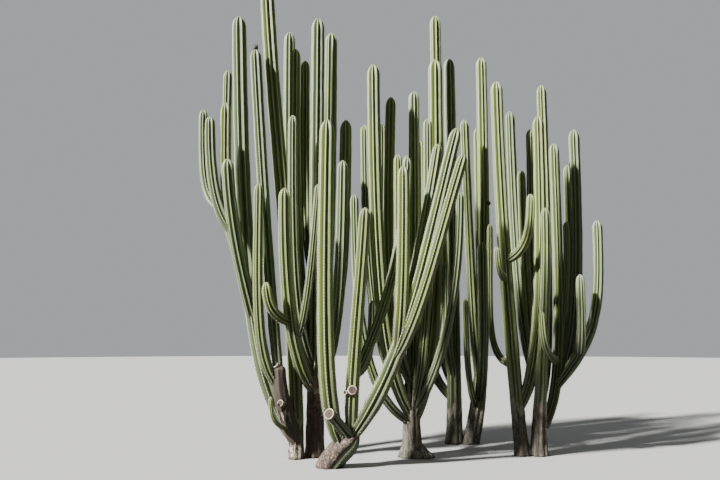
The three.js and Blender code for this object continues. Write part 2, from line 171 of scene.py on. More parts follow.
skinForm = {
    "valleyDepth": 0.4,      # depth of the valleys between the ribs, as a share of the radius
    "barkValleyDepth": 0.07,
    "barkHeight": 0.9,       # a stem's bark fades into green skin over this height
    "ribFaces": (0, 0.1, 0.3, 0.5, 0.7, 0.9),  # where a rib's faces begin, from one crest to the next
    "stemFaces": (0, 0.08, 0.17, 0.25, 0.33, 0.42, 0.5, 0.58, 0.67, 0.75, 0.83, 0.92),
    "ringGap": 0.045,        # at most, between two rings of faces
    "tipLong": 1.0,          # how far down the tip begins to narrow, as a share of the thickness
    "tipRings": (0.8, 0.6, 0.44, 0.31, 0.21, 0.135, 0.08, 0.04, 0.015, 0),
    "dimple": 0.05,          # how deep the tip's middle lies below its ribs, as the same share
    "tipRound": (2.5, 0.8),  # how full and how blunt the tip is
    "swell": 0.014,          # growth waves, as a share of the radius
    "waveRates": ((5, 9), (13, 21), (27, 40)),  # radians for each metre, drawn for each limb
    "waveShares": (1, 0.7, 0.45),
    "pinch": 0.05,           # and the narrow rings between two years' growth
    "pinchShare": (0.2, 0.8),
    "pinchGap": (0.45, 1.1),
    "pinchWide": 0.035,
    "pinchFree": 0.3,        # no ring this near to the foot
    "warm": (0.2, 0.8),      # from gray-green to yellow-green, drawn for each limb
    "relief": 0.0055,        # depth of the bark's furrows
    "furrowScale": (34, 6),  # across the limb and along it
    "toe": 0.75,             # how far a one-sided root flare reaches, as a share of the radius
    "toeHeight": 0.13,
    "barkTurn": 3.0,         # how sharply one-sided bark ends
    "cutHeight": 0.0002,     # the flat cut of the stems, just clear of the ground
    "mergeGap": 0.00002,
}

spineForm = {
    "youngGap": 0.032,       # between two spine cushions on a crest, at the tip
    "oldGap": 0.046,         # and at the foot
    "spines": 4,
    "youngLong": 0.013,
    "oldLong": 0.024,
    "youngThick": 0.0018,
    "oldThick": 0.0027,
    "sunk": 0.001,           # how deep a spine's foot lies in the skin
    "start": 0.12,           # bare skin at a limb's foot
    "end": 0.008,            # and at its tip
    "clear": 0.0312,         # no cushion nearer to the ground
    "onBark": (1.1, 0.05),   # how fast cushions get fewer where green skin turns to bark
    "turn": 0.5,             # how far a spine may stray round its cushion, in radians
    "spread": (0.3, 0.9),    # how far it leans away from straight out
    "share": (0.55, 1.15),   # its length, as a share of the usual length there
    "offAxis": (0.31, 0.52, 0.79),  # any way that no spine points
    "piece": 190000,         # triangles that one joined piece may hold
}


def smoothStep(low, high, value):
    share = numpy.clip((value - low) / (high - low), 0, 1)
    return share * share * (3 - 2 * share)


# A limb's centre line as a cubic curve, measured by its length
class CentreLine:
    samples = 400
    nearby = 0.002  # the share of the way over which its direction is taken
    upright = 0.001  # a limb that reaches out less than this has no side of its own

    def __init__(self, limb, carrier):
        if carrier is None:
            foot = Vector((*limb["base"], -limbForm["buried"]))
        else:
            foot = carrier.pointAtHeight(limb["fromHeight"])
        tip = Vector(limb["tip"])
        way = {**usualBend, **limb}
        outwards = Vector((tip.x - foot.x, tip.y - foot.y, 0))
        upwards = Vector((0, 0, tip.z - foot.z))
        footHandle = foot + outwards * way["spread"] + upwards * way["elbow"]
        tipHandle = tip - outwards * way["lean"] - upwards * way["hold"]
        self.handles = numpy.array([foot, footHandle, tipHandle, tip])
        self.share = numpy.linspace(0, 1, self.samples + 1)
        self.points = self.curve(self.share)
        steps = numpy.linalg.norm(numpy.diff(self.points, axis=0), axis=1)
        self.distance = numpy.concatenate([[0], numpy.cumsum(steps)])
        self.length = float(self.distance[-1])
        side = Vector((outwards.y, -outwards.x, 0))
        self.side = numpy.array(side.normalized() if side.length > self.upright else (0, -1, 0))

    def curve(self, share):
        t = numpy.asarray(share, dtype=float)[:, None]
        foot, footHandle, tipHandle, tip = self.handles
        lower = (1 - t) ** 3 * foot + 3 * (1 - t) ** 2 * t * footHandle
        return lower + 3 * (1 - t) * t * t * tipHandle + t ** 3 * tip

    def pointAtHeight(self, height):
        row = int(numpy.argmax(self.points[:, 2] >= height))
        low, high = self.points[row - 1], self.points[row]
        part = (height - low[2]) / (high[2] - low[2])
        return Vector(low + (high - low) * part)

    # middle of the limb, the direction along it and one across it, at each distance
    def frames(self, distance):
        share = numpy.interp(distance, self.distance, self.share)
        middle = self.curve(share)
        before, after = (self.curve(numpy.clip(share + step, 0, 1)) for step in (-self.nearby, self.nearby))
        ahead = after - before
        ahead /= numpy.linalg.norm(ahead, axis=1)[:, None]
        front = numpy.cross(ahead, self.side)
        front /= numpy.linalg.norm(front, axis=1)[:, None]
        return middle, ahead, front


# half of the limb's thickness at each distance, without its round tip
def limbRadius(limb, distance, length):
    tipRadius = limb["thick"] / 2
    if "base" in limb:
        girth = limb["girth"] / 2
        footing = girth * limb.get("flare", limbForm["rootFlare"])
        belly = min(girth, tipRadius * limbForm["armBelly"])
        buried = limbForm["buried"]
        stops = [0, buried, buried + limbForm["flareHeight"], buried + limbForm["girthHeight"], length]
        if length < stops[3]:  # a short stem
            stops[3], belly = length - 0.001, tipRadius * limbForm["armBelly"]
        return numpy.interp(distance, stops, [footing, footing, girth, belly, tipRadius])
    stops = [0, limbForm["bellyAt"], 1]
    shares = [limbForm["armFoot"], limb.get("belly", limbForm["armBelly"]), 1]
    return tipRadius * numpy.interp(distance / length, stops, shares)


# where a limb's skin lies, for each pair of a distance along the limb and an angle round it
class LimbSkin:
    def __init__(self, name):
        self.name = name
        self.limb = limbs[name]
        self.line = centreLines[name]
        self.stem = "base" in self.limb
        self.tipLong = self.limb["thick"] * self.limb.get("tipLong", skinForm["tipLong"])
        self.dice = random.Random(name)
        self.phases = [self.dice.uniform(0, 2 * math.pi) for _ in skinForm["waveRates"]]
        self.waves = [self.dice.uniform(*rate) for rate in skinForm["waveRates"]]
        self.warm = self.limb.get("warm", self.dice.uniform(*skinForm["warm"]))
        self.pinches = [(self.line.length - down, 1) for down in self.limb.get("pinches", ())]
        down = self.dice.uniform(*skinForm["pinchGap"])
        while down < self.line.length - skinForm["pinchFree"]:
            self.pinches.append((self.line.length - down, self.dice.uniform(*skinForm["pinchShare"])))
            down += self.dice.uniform(*skinForm["pinchGap"])
        self.cushionRows = self.countCushions()
        self.cushionShift = [self.dice.uniform(0, 1) for _ in range(limbForm["ribs"])]
        self.barkAngle = self.angleOf(self.limb["barkSide"]) if "barkSide" in self.limb else None
        self.toeAngle = self.angleOf(self.limb["toe"]) if "toe" in self.limb else None

    # distances of the spine cushions along a crest: they stand closer on young skin
    def countCushions(self):
        young, widening = spineForm["youngGap"], spineForm["oldGap"] - spineForm["youngGap"]
        rows = [0.0]
        while rows[-1] < self.line.length:
            rows.append(rows[-1] + young + widening * (1 - rows[-1] / self.line.length))
        return numpy.array(rows)

    def angleOf(self, way):
        _, _, front = self.line.frames(numpy.array([limbForm["buried"]]))
        return math.atan2(self.line.side @ way, front[0] @ way)

    # how much of the skin is bark: 1 for all of it
    def bark(self, distance, angle):
        if self.limb.get("woody"):
            return numpy.ones_like(distance)
        if not self.stem:
            return numpy.zeros_like(distance)
        if self.barkAngle is not None:
            towards = numpy.cos(angle - self.barkAngle)
            return numpy.clip(0.5 + skinForm["barkTurn"] * towards, 0, 1) + 0 * distance
        height = self.limb.get("barkHeight", skinForm["barkHeight"])
        return numpy.clip(1 - (distance - limbForm["buried"]) / height, 0, 1)

    def radius(self, distance, angle):
        length = self.line.length
        plain = limbRadius(self.limb, distance, length)
        into = numpy.clip(1 - (length - distance) / self.tipLong, 0, 1)
        full, blunt = skinForm["tipRound"]
        roundTip = (1 - into ** full) ** blunt
        toCrest = numpy.abs(2 * ((angle * limbForm["ribs"] / (2 * math.pi)) % 1) - 1)
        deep, shallow = skinForm["valleyDepth"], skinForm["barkValleyDepth"]
        depth = deep + (shallow - deep) * self.bark(distance, angle)
        press = 1 - depth * (1 - toCrest)
        around = (0, 0, angle)  # the finest waves also run round the limb
        waves = zip(skinForm["waveShares"], self.waves, self.phases, around)
        wave = sum(share * numpy.sin(distance * rate + phase + turn) for share, rate, phase, turn in waves)
        for place, share in self.pinches:
            near = (distance - place) / skinForm["pinchWide"]
            press = press * (1 - skinForm["pinch"] * share * numpy.exp(-near * near))
        if self.toeAngle is not None:
            low = numpy.exp(-((distance - limbForm["buried"]) / skinForm["toeHeight"]) ** 2)
            towards = numpy.clip(numpy.cos(angle - self.toeAngle), 0, 1)
            press = press * (1 + skinForm["toe"] * low * towards ** 3)
        return plain * roundTip * press * (1 + skinForm["swell"] * wave * (1 - into))

    # places on the skin, the directions outwards and the directions along the limb
    def places(self, distance, angle, lift=0.0):
        middle, ahead, front = self.line.frames(distance)
        across = front * numpy.cos(angle)[:, None] + self.line.side * numpy.sin(angle)[:, None]
        return middle + across * (self.radius(distance, angle) + lift)[:, None], across, ahead

    def rings(self):
        length = self.line.length - self.tipLong
        count = max(6, round(length / skinForm["ringGap"]))
        tip = [self.line.length - self.tipLong * share for share in skinForm["tipRings"]]
        return numpy.array([0.0, *numpy.linspace(0, length, count + 1), *tip])


# what the skin's material reads at each point: shares of bark, age and yellow-green, and the cushions counted
# from the foot
skinLayers = ("bark", "age", "warm", "cushion")

centreLines = {}
for name, limb in limbs.items():
    centreLines[name] = CentreLine(limb, centreLines.get(limb.get("on")))
skins = {name: LimbSkin(name) for name in limbs}


def uneven(spot):
    return noise.fractal(spot, 1.0, 2.0, 3)


# each ring of a limb's skin: places, outward directions and how much of it is bark
def skinRings(skin, rings, angle):
    found = []
    for row, distance in enumerate(rings):
        spot = numpy.full(len(angle), distance)
        places, across, _ = skin.places(spot, angle)
        middle, ahead, _ = skin.line.frames(spot)
        if row == 0:
            places = middle
        if row == len(rings) - 1:
            places = middle - ahead * skinForm["dimple"] * skin.limb["thick"]
        found.append((places, across, skin.bark(spot, angle)))
    return found


# one closed ribbed tube in the bmesh, with the distance along it and the rib round it as UVs
def growTube(bm, skin):
    ribs = limbForm["ribs"]
    faces = skinForm["stemFaces"] if skin.stem else skinForm["ribFaces"]
    around = ribs * len(faces)
    turns = numpy.array([rib + share for rib in range(ribs) for share in faces] + [ribs])
    rings = skin.rings()
    grid = bmesh.ops.create_grid(bm, x_segments=around, y_segments=len(rings) - 1, size=0.5)["verts"]
    uv = bm.loops.layers.uv["UVMap"]
    barkLayer, ageLayer, warmLayer, cushionLayer = (bm.verts.layers.float[label] for label in skinLayers)
    counted = numpy.interp(rings, skin.cushionRows, numpy.arange(len(skin.cushionRows)))
    found = skinRings(skin, rings, turns * 2 * math.pi / ribs)
    acrossScale, alongScale = skinForm["furrowScale"]
    where = {}
    for vert in grid:
        column = round((vert.co.x + 0.5) * around)
        row = round((vert.co.y + 0.5) * (len(rings) - 1))
        where[vert] = (column, row)
        places, across, barks = found[row]
        place = Vector(places[column])
        bark = float(barks[column])
        if bark > 0.02 and row > 0:
            spot = Vector((place.x * acrossScale, place.y * acrossScale, place.z * alongScale))
            place += Vector(across[column]) * (uneven(spot) * skinForm["relief"] * bark)
        vert.co = place
        vert[barkLayer] = bark
        # a limb marked old counts as old all over, and old skin is painted darker: partly aged skin, partly
        # painted shade
        vert[ageLayer] = 1.0 if skin.limb.get("old") else float(1 - min(rings[row] / skin.line.length, 1))
        vert[warmLayer] = skin.warm
        vert[cushionLayer] = float(counted[row] - skin.cushionShift[round(turns[column]) % ribs])
    for face in {face for vert in grid for face in vert.link_faces}:
        for loop in face.loops:
            column, row = where[loop.vert]
            loop[uv].uv = (turns[column], rings[row])
    for edge in {edge for vert in grid for edge in vert.link_edges}:
        (column, row), (other, _) = (where[vert] for vert in edge.verts)
        if column == other and turns[column] % 1 == 0.5 and found[row][2][column] < 0.5:
            edge.smooth = False  # sharp valleys, but not in bark
    bmesh.ops.remove_doubles(bm, verts=grid, dist=skinForm["mergeGap"])


def newObject(name, data):
    made = bpy.data.objects.new(name, data)
    bpy.context.scene.collection.objects.link(made)
    return made


def addPiece(mesh, material):
    mesh.materials.append(material)
    piece = newObject(mesh.name, mesh)
    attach(piece, "root")
    return piece


def newPiece(name, bm, material):
    bmesh.ops.recalc_face_normals(bm, faces=bm.faces[:])
    mesh = bpy.data.meshes.new(name)
    bm.to_mesh(mesh)
    bm.free()
    for face in mesh.polygons:
        face.use_smooth = True
    return addPiece(mesh, material)


def growNode(node, material):
    bm = bmesh.new()
    bm.loops.layers.uv.new("UVMap")
    for label in skinLayers:
        bm.verts.layers.float.new(label)
    for name, limb in limbs.items():
        if name == node or limb.get("fusedWith") == node:
            growTube(bm, skins[name])
    if "base" in limbs[node]:
        everything = bm.verts[:] + bm.edges[:] + bm.faces[:]
        cut = bmesh.ops.bisect_plane(bm, geom=everything, plane_co=(0, 0, skinForm["cutHeight"]),
                                     plane_no=(0, 0, 1), clear_inner=True)["geom_cut"]
        bmesh.ops.edgeloop_fill(bm, edges=[part for part in cut if isinstance(part, bmesh.types.BMEdge)])
    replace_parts(newPiece(node + "_skin", bm, material), node)


# Shader sums are written as expressions: a Wire is one socket
class Wire:
    def __init__(self, paint, socket):
        self.paint = paint
        self.socket = socket

    def sum(self, operation, first, second=None):
        inputs = [first] if second is None else [first, second]
        return self.paint.node("ShaderNodeMath", {"operation": operation}, dict(enumerate(inputs)))

    def __add__(self, other):
        return self.sum("ADD", self, other)

    def __radd__(self, other):
        return self.sum("ADD", other, self)

    def __sub__(self, other):
        return self.sum("SUBTRACT", self, other)

    def __rsub__(self, other):
        return self.sum("SUBTRACT", other, self)

    def __mul__(self, other):
        return self.sum("MULTIPLY", self, other)

    def __rmul__(self, other):
        return self.sum("MULTIPLY", other, self)

    def __pow__(self, other):
        return self.sum("POWER", self, other)

    def clamped(self):
        positive = self.sum("MAXIMUM", self, 0.0)
        return self.sum("MINIMUM", positive, 1.0)

    def fraction(self):
        return self.sum("FRACT", self)

    def size(self):
        return self.sum("ABSOLUTE", self)


# the nodes of a material, or of the world, under construction
class Paint:
    def __init__(self, owner):
        owner.use_nodes = True
        self.owner = owner
        self.tree = owner.node_tree
        self.tree.nodes.clear()

    # any node: settings are set first, then sockets, and one output comes back as a Wire
    def node(self, kind, settings=None, inputs=None, output=0):
        made = self.tree.nodes.new(kind)
        for key, value in (settings or {}).items():
            if key == "stops":
                ramp = made.color_ramp
                while len(ramp.elements) < len(value):
                    ramp.elements.new(0.5)
                for element, (place, colour) in zip(ramp.elements, value):
                    element.position = place
                    element.color = (*colour, 1)
            else:
                setattr(made, key, value)
        for key, value in (inputs or {}).items():
            socket = made.inputs[key]
            if isinstance(value, Wire):
                self.tree.links.new(value.socket, socket)
            elif isinstance(value, tuple) and len(value) == 3 and socket.type == "RGBA":
                socket.default_value = (*value, 1)
            else:
                socket.default_value = value
        return Wire(self, made.outputs[output]) if made.outputs else None

    def mix(self, share, first, second):
        return self.node("ShaderNodeMix", {"data_type": "RGBA"}, {0: share, 6: first, 7: second}, 2)

    def noise(self, vector, scale, detail=3.0, roughness=0.55):
        return self.node("ShaderNodeTexNoise", {},
                         {"Vector": vector, "Scale": scale, "Detail": detail, "Roughness": roughness}, "Fac")

    def attribute(self, name):
        return self.node("ShaderNodeAttribute", {"attribute_name": name}, {}, "Fac")

    def objectPlace(self):
        return self.node("ShaderNodeTexCoord", {}, {}, "Object")

    def part(self, vector, axis):
        return self.node("ShaderNodeSeparateXYZ", {}, {"Vector": vector}, axis)

    def acrossUV(self):
        return self.part(self.node("ShaderNodeUVMap", {"uv_map": "UVMap"}), "X")

    def stretched(self, vector, scale):
        return self.node("ShaderNodeVectorMath", {"operation": "MULTIPLY"}, {0: vector, 1: scale})

    # 1 in the middle of an egg-shaped place, 0 at its edge and beyond
    def spot(self, vector, middle, halfWidths):
        away = self.node("ShaderNodeVectorMath", {"operation": "SUBTRACT"}, {0: vector, 1: middle})
        away = self.stretched(away, tuple(1 / wide for wide in halfWidths))
        away = self.node("ShaderNodeVectorMath", {"operation": "LENGTH"}, {0: away}, "Value")
        return (1 - away).clamped()

    # soft step from 0 at low to 1 at high
    def step(self, value, low, high):
        return self.node("ShaderNodeMapRange", {"interpolation_type": "SMOOTHSTEP"},
                         {"Value": value, "From Min": low, "From Max": high})

    def finish(self, colour, roughness, height=None, bump=0.4, depth=0.004):
        inputs = {"Base Color": colour, "Roughness": roughness}
        if height is not None:
            inputs["Normal"] = self.node("ShaderNodeBump", {},
                                         {"Strength": bump, "Distance": depth, "Height": height})
        shader = self.node("ShaderNodeBsdfPrincipled", {}, inputs)
        self.node("ShaderNodeOutputMaterial", {}, {"Surface": shader})
        return self.owner


skinColours = {
    "fresh": (0.225, 0.29, 0.11),      # pale young skin beside the crests
    "gray": (0.108, 0.145, 0.062),     # gray-green and yellow-green limbs
    "yellow": (0.15, 0.195, 0.042),
    # old skin: partly the grayer colour of aged skin, partly painted shade on the lower and inner limbs
    "old": (0.066, 0.076, 0.036),
    # painted shade: the valleys between the ribs are painted dark
    "valleyShade": (0.036, 0.038, 0.022),
    # a pale line along each crest: partly the pale skin there, partly a painted highlight
    "crestAndHighlight": (0.89, 0.97, 0.56),
    "cushion": (0.075, 0.055, 0.035),  # felt at the feet of the spines
    "bark": (0.16, 0.14, 0.10),
    "barkDark": (0.045, 0.038, 0.028),
    "barkPale": (0.40, 0.34, 0.27),
    "paper": (0.70, 0.62, 0.50),       # dry papery skin
}

# noise scales in waves for each metre, and from where to where each colour fades in
skinPattern = {
    "patches": 3.2,
    "grain": 60.0,
    "streaks": (22.0, 22.0, 3.0),  # drawn out along the limbs
    "furrows": (34.0, 34.0, 7.0),
    "yellowFade": (0.25, 0.75),
    "freshAge": 0.75,  # skin older than this isn't fresh, 1 being the limb's foot
    "freshFade": (0.0, 0.6),
    "freshWide": 0.30,  # as a share of the way from crest to valley
    "freshShare": 0.65,
    # old skin, with its painted shade, fades in towards the foot
    "oldFade": (0.6, 1.05),
    "oldShare": 0.9,
    # painted shade in the valleys: where it fades in, and how dark it gets
    "valleyShadeFade": (0.55, 1.0),
    "valleyShadeShare": 0.8,
    # the pale crest line and its painted highlight: how wide it is, and how it fades and wears on old skin
    "crestWide": 0.135,
    "crestNarrows": 0.06,  # by this much towards the limb's foot
    "crestFade": (0.0, 0.06),
    "crestOldFade": (0.8, 1.0),
    "crestOldShare": 0.75,
    "cushionShort": 12.0,  # along the crest
    "cushionNarrow": 5.0,
    "barkFade": (0.4, 0.52),
    "darkFade": (0.36, 0.66),
    "paleFade": (0.52, 0.66),
    "netFade": (0.05, 0.32),
    "rimWide": 0.09,  # a pale rim where bark ends
    "rimShare": 0.7,
    "paperFade": (0.45, 0.6),
    "bump": 0.45,
    "bumpDepth": 0.004,
}

# bark of one stem where it isn't gray
barkTints = {
    # the front stem's own old skin colour is darker still: painted shade on its green side
    "front_stem": {"bark": (0.40, 0.285, 0.20), "barkDark": (0.035, 0.025, 0.018),
                   "barkPale": (0.72, 0.57, 0.43), "old": (0.026, 0.04, 0.014), "net": (40.0, 40.0, 28.0)},
    "left_stem": {"bark": (0.17, 0.15, 0.08)},
    "left_stem_2": {"bark": (0.14, 0.09, 0.065), "barkPale": (0.26, 0.18, 0.13)},
    # the stump's bark is painted darker: partly its dark brown colour, partly painted shade
    "left_stump": {"bark": (0.08, 0.056, 0.038), "barkPale": (0.15, 0.11, 0.075)},
}

# where dry skin lies pale: middle, half widths and how much of it is pale
papery = (
    ((-1.25, -0.13, 0.86), (0.11, 0.14, 0.10), 0.8),
    ((-1.655, -0.40, 0.58), (0.06, 0.14, 0.17), 0.75),
    ((-1.57, -0.24, 0.10), (0.06, 0.10, 0.12), 0.7),
    ((0.20, -0.10, 0.03), (0.12, 0.12, 0.09), 1.0),
)


def ribbedSkin(name, colours):
    form = skinPattern
    paint = Paint(bpy.data.materials.new(name))
    place = paint.objectPlace()
    fromCrest = 1 - (paint.acrossUV().fraction() - 0.5).size() * 2
    bark = paint.attribute("bark")
    age = paint.attribute("age")
    warm = paint.attribute("warm")
    patches = paint.noise(place, form["patches"], 4.0, 0.6)
    grain = paint.noise(place, form["grain"], 3.0, 0.6)
    streaks = paint.noise(paint.stretched(place, form["streaks"]), 1.0, 4.0, 0.6)

    # green skin, from its faces to the valleys with their painted shade, the pale crests with their painted
    # highlight, and the cushions
    yellowish = paint.step(warm + (patches - 0.5) * 1.2, *form["yellowFade"])
    face = paint.mix(yellowish, colours["gray"], colours["yellow"])
    young = paint.step(form["freshAge"] - age + (patches - 0.5) * 0.5, *form["freshFade"])
    besideCrest = paint.step(form["freshWide"] - fromCrest + (streaks - 0.5) * 0.2, 0.0, 0.28)
    face = paint.mix(young * besideCrest * form["freshShare"], face, colours["fresh"])
    # towards the foot the skin turns old and darker: partly aged skin, partly painted shade
    older = paint.step(age + (streaks - 0.5) * 0.5, *form["oldFade"])
    face = paint.mix(older * form["oldShare"], face, colours["old"])
    # painted shade: the skin darkens towards the floor of each valley
    inValleyShade = paint.step(fromCrest, *form["valleyShadeFade"])
    green = paint.mix(inValleyShade * form["valleyShadeShare"], face, colours["valleyShade"])
    # pale crest lines, partly painted highlight, narrower and more worn towards the foot
    crestWide = form["crestWide"] - age * form["crestNarrows"]
    onCrestAndHighlight = paint.step(crestWide - fromCrest + (grain - 0.5) * 0.06, *form["crestFade"])
    worn = paint.step(age, *form["crestOldFade"]) * form["crestOldShare"]
    green = paint.mix(onCrestAndHighlight * (1 - worn), green, colours["crestAndHighlight"])
    alongCrest = (paint.attribute("cushion") + 0.5).fraction() - 0.5
    toCushion = (alongCrest ** 2.0 * form["cushionShort"] + (fromCrest * form["cushionNarrow"]) ** 2.0) ** 0.5
    cushion = paint.step(0.8 - toCushion, 0.0, 0.2)
    green = paint.mix(cushion * 0.95, green, colours["cushion"])

    # bark
    furrows = paint.noise(paint.stretched(place, form["furrows"]), 1.0, 5.0, 0.65)
    woody = paint.mix(paint.step(furrows, *form["darkFade"]), colours["barkDark"], colours["bark"])
    pale = paint.step(patches * 0.5 + grain * 0.5, *form["paleFade"])
    woody = paint.mix(pale, woody, colours["barkPale"])
    lumps = furrows
    if "net" in colours:  # corky lumps with dark cracks between them
        bends = paint.node("ShaderNodeTexNoise", {}, {"Vector": place, "Scale": 25.0, "Detail": 2.0}, "Color")
        bends = paint.stretched(bends, (0.03, 0.03, 0.03))
        bent = paint.node("ShaderNodeVectorMath", {"operation": "ADD"}, {0: place, 1: bends})
        lumps = paint.node("ShaderNodeTexVoronoi", {"feature": "DISTANCE_TO_EDGE"},
                           {"Vector": paint.stretched(bent, colours["net"]), "Scale": 1.0}, "Distance")
        lumps = paint.step(lumps, *form["netFade"])
        woody = paint.mix(lumps * 0.9 + 0.1, colours["barkDark"], woody)
    barkEdge = bark + (streaks - 0.5) * 0.7
    isBark = paint.step(barkEdge, *form["barkFade"])
    colour = paint.mix(isBark, green, woody)
    toRim = (barkEdge - sum(form["barkFade"]) / 2).size()
    rim = paint.step(form["rimWide"] - toRim, 0.0, 0.06) * paint.step(bark, 0.05, 0.2)
    colour = paint.mix(rim * form["rimShare"], colour, colours["barkPale"])
    for middle, halfWidths, share in papery:
        near = paint.spot(place, middle, halfWidths)
        flakes = paint.step(near + (streaks - 0.5) * 1.6 + (grain - 0.5) * 0.6, *form["paperFade"])
        colour = paint.mix(flakes * share, colour, colours["paper"])
    roughness = 0.5 + isBark * 0.35 + (grain - 0.5) * 0.15
    height = grain * 0.35 + lumps * isBark * 1.6 + streaks * 0.3
    return paint.finish(colour, roughness, height, form["bump"], form["bumpDepth"])


def spineMaterial():
    paint = Paint(bpy.data.materials.new("spines"))
    tint = paint.noise(paint.objectPlace(), 9.0, 2.0)
    colour = paint.mix(paint.step(tint, 0.3, 0.7), (0.40, 0.36, 0.27), (0.80, 0.75, 0.61))
    return paint.finish(colour, 0.6)


print("skins: growing the limbs")
greenSkin = ribbedSkin("green_skin", skinColours)
barkSkin = ribbedSkin("bark_skin", skinColours)
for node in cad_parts:
    isStem = "base" in limbs[node]
    material = barkSkin if isStem else greenSkin
    if node in barkTints:
        material = ribbedSkin(node + "_bark", {**skinColours, **barkTints[node]})
    growNode(node, material)


# one thin closed spine along +Z, as corners and triangles
def spineShape():
    bm = bmesh.new()
    bmesh.ops.create_cone(bm, segments=3, radius1=0.5, radius2=0, depth=1, cap_ends=True, cap_tris=True)
    bmesh.ops.translate(bm, verts=bm.verts, vec=(0, 0, 0.5))
    bmesh.ops.triangulate(bm, faces=bm.faces[:])
    bm.verts.index_update()
    corners = numpy.array([vert.co[:] for vert in bm.verts])
    triangles = numpy.array([[vert.index for vert in face.verts] for face in bm.faces])
    bm.free()
    return corners, triangles


# every spine cushion on a limb's crests: place, the ways outwards and along the limb, and its spines' length
def cushions(skin):
    form = spineForm
    length = skin.line.length
    numbers = numpy.arange(len(skin.cushionRows))
    spots, angles = [], []
    dice = numpy.random.default_rng(len(skin.name) * 1000 + sum(map(ord, skin.name)))
    fewer, spared = form["onBark"]
    for rib in range(limbForm["ribs"]):
        turn = rib * 2 * math.pi / limbForm["ribs"]
        rows = numpy.interp(numbers + skin.cushionShift[rib], numbers, skin.cushionRows)
        kept = rows[dice.random(len(rows)) > skin.bark(rows, turn) * fewer - spared]
        kept = kept[(kept > form["start"]) & (kept < length - form["end"])]
        spots.append(kept)
        angles.append(numpy.full(len(kept), turn))
    spots = numpy.concatenate(spots)
    long = form["youngLong"] + (form["oldLong"] - form["youngLong"]) * (1 - spots / length)
    found = *skin.places(spots, numpy.concatenate(angles), -form["sunk"]), long
    aboveGround = found[0][:, 2] > form["clear"]
    return [values[aboveGround] for values in found]


# the corners of every spine on some limbs, one spine a row
def spineCorners(names, corners, dice):
    form = spineForm
    starts, ways, longs = [], [], []
    for name in names:
        places, outwards, ahead, long = cushions(skins[name])
        sideways = numpy.cross(outwards, ahead)
        for number in range(form["spines"]):
            stray = dice.uniform(-form["turn"], form["turn"], len(places))
            turn = number * 2 * math.pi / form["spines"] + stray
            spread = dice.uniform(*form["spread"], len(places))[:, None]
            lean = ahead * numpy.sin(turn)[:, None] + sideways * numpy.cos(turn)[:, None]
            way = outwards + lean * spread
            starts.append(places)
            ways.append(way / numpy.linalg.norm(way, axis=1)[:, None])
            longs.append(long)
    starts, ways, longs = (numpy.concatenate(values) for values in (starts, ways, longs))
    along = ways * (longs * dice.uniform(*form["share"], len(starts)))[:, None]
    across = numpy.cross(ways, form["offAxis"])
    across /= numpy.linalg.norm(across, axis=1)[:, None]
    other = numpy.cross(ways, across)
    thick = numpy.interp(longs, [form["youngLong"], form["oldLong"]], [form["youngThick"], form["oldThick"]])
    thick = thick[:, None, None]
    return (starts[:, None, :]
            + corners[None, :, 0, None] * across[:, None, :] * thick
            + corners[None, :, 1, None] * other[:, None, :] * thick
            + corners[None, :, 2, None] * along[:, None, :])


# the spines of some limbs, joined into pieces of a fair size
def growSpines(names, label, material):
    corners, triangles = spineShape()
    points = spineCorners(names, corners, numpy.random.default_rng(len(label) + 7))
    perPiece = spineForm["piece"] // len(triangles)
    for number, first in enumerate(range(0, len(points), perPiece)):
        part = points[first:first + perPiece]
        faces = triangles[None] + (numpy.arange(len(part)) * len(corners))[:, None, None]
        mesh = bpy.data.meshes.new(f"{label}_{number + 1}")
        mesh.from_pydata(part.reshape(-1, 3).tolist(), [], faces.reshape(-1, 3).tolist(), shade_flat=False)
        addPiece(mesh, material)
    print(" ", label, len(points))


print("spines: joined pieces for each group of stems")
spinePaint = spineMaterial()
for group in ("front", "left", "middle", "back", "right"):
    growSpines([name for name in limbs if name.startswith(group)], group + "_spines", spinePaint)

# sawn-off shoots: the middle of the cut face, the way it looks, radius and length
cutShoots = {
    "cut_shoot_1": ((-1.052, -1.095, 0.667), (-0.42, -0.86, 0.30), 0.067, 0.05),
    "cut_shoot_2": ((-0.776, -0.995, 0.936), (0.10, -0.97, 0.22), 0.057, 0.13),
    "cut_shoot_3": ((-0.862, -0.965, 0.905), (-0.55, -0.80, 0.25), 0.026, 0.10),
    "cut_shoot_4": ((-1.70, -0.455, 0.735), (-0.35, -0.90, 0.25), 0.042, 0.13),
    "cut_shoot_5": ((-1.775, -0.445, 1.215), (-0.35, -0.62, 0.70), 0.040, 0.10),
}
cutForm = {
    "sides": 32,
    "foot": 0.92,            # thickness at the foot, as a share of that at the cut
    "edge": 0.12,            # the rounded edge, as a share of the radius
    "roughScale": 40,
    "rough": 0.09,
    "roughDepth": 0.3,
    # rings from rim to middle: inset as a share of the radius, and how far it then steps out
    "rings": ((0.10, 0.003), (0.16, -0.005), (0.14, -0.002), (0.12, 0.004), (0.20, -0.004), (0.12, -0.006)),
    # colours from middle to rim
    "colours": [(0.0, (0.010, 0.007, 0.005)), (0.18, (0.02, 0.013, 0.010)), (0.30, (0.15, 0.10, 0.075)),
                (0.42, (0.010, 0.007, 0.005)), (0.52, (0.07, 0.045, 0.035)), (0.66, (0.09, 0.058, 0.045)),
                (0.76, (0.012, 0.008, 0.006)), (0.86, (0.62, 0.53, 0.41)), (1.0, (0.30, 0.26, 0.18))],
    "chips": (0.16, 0.11, 0.08),
}


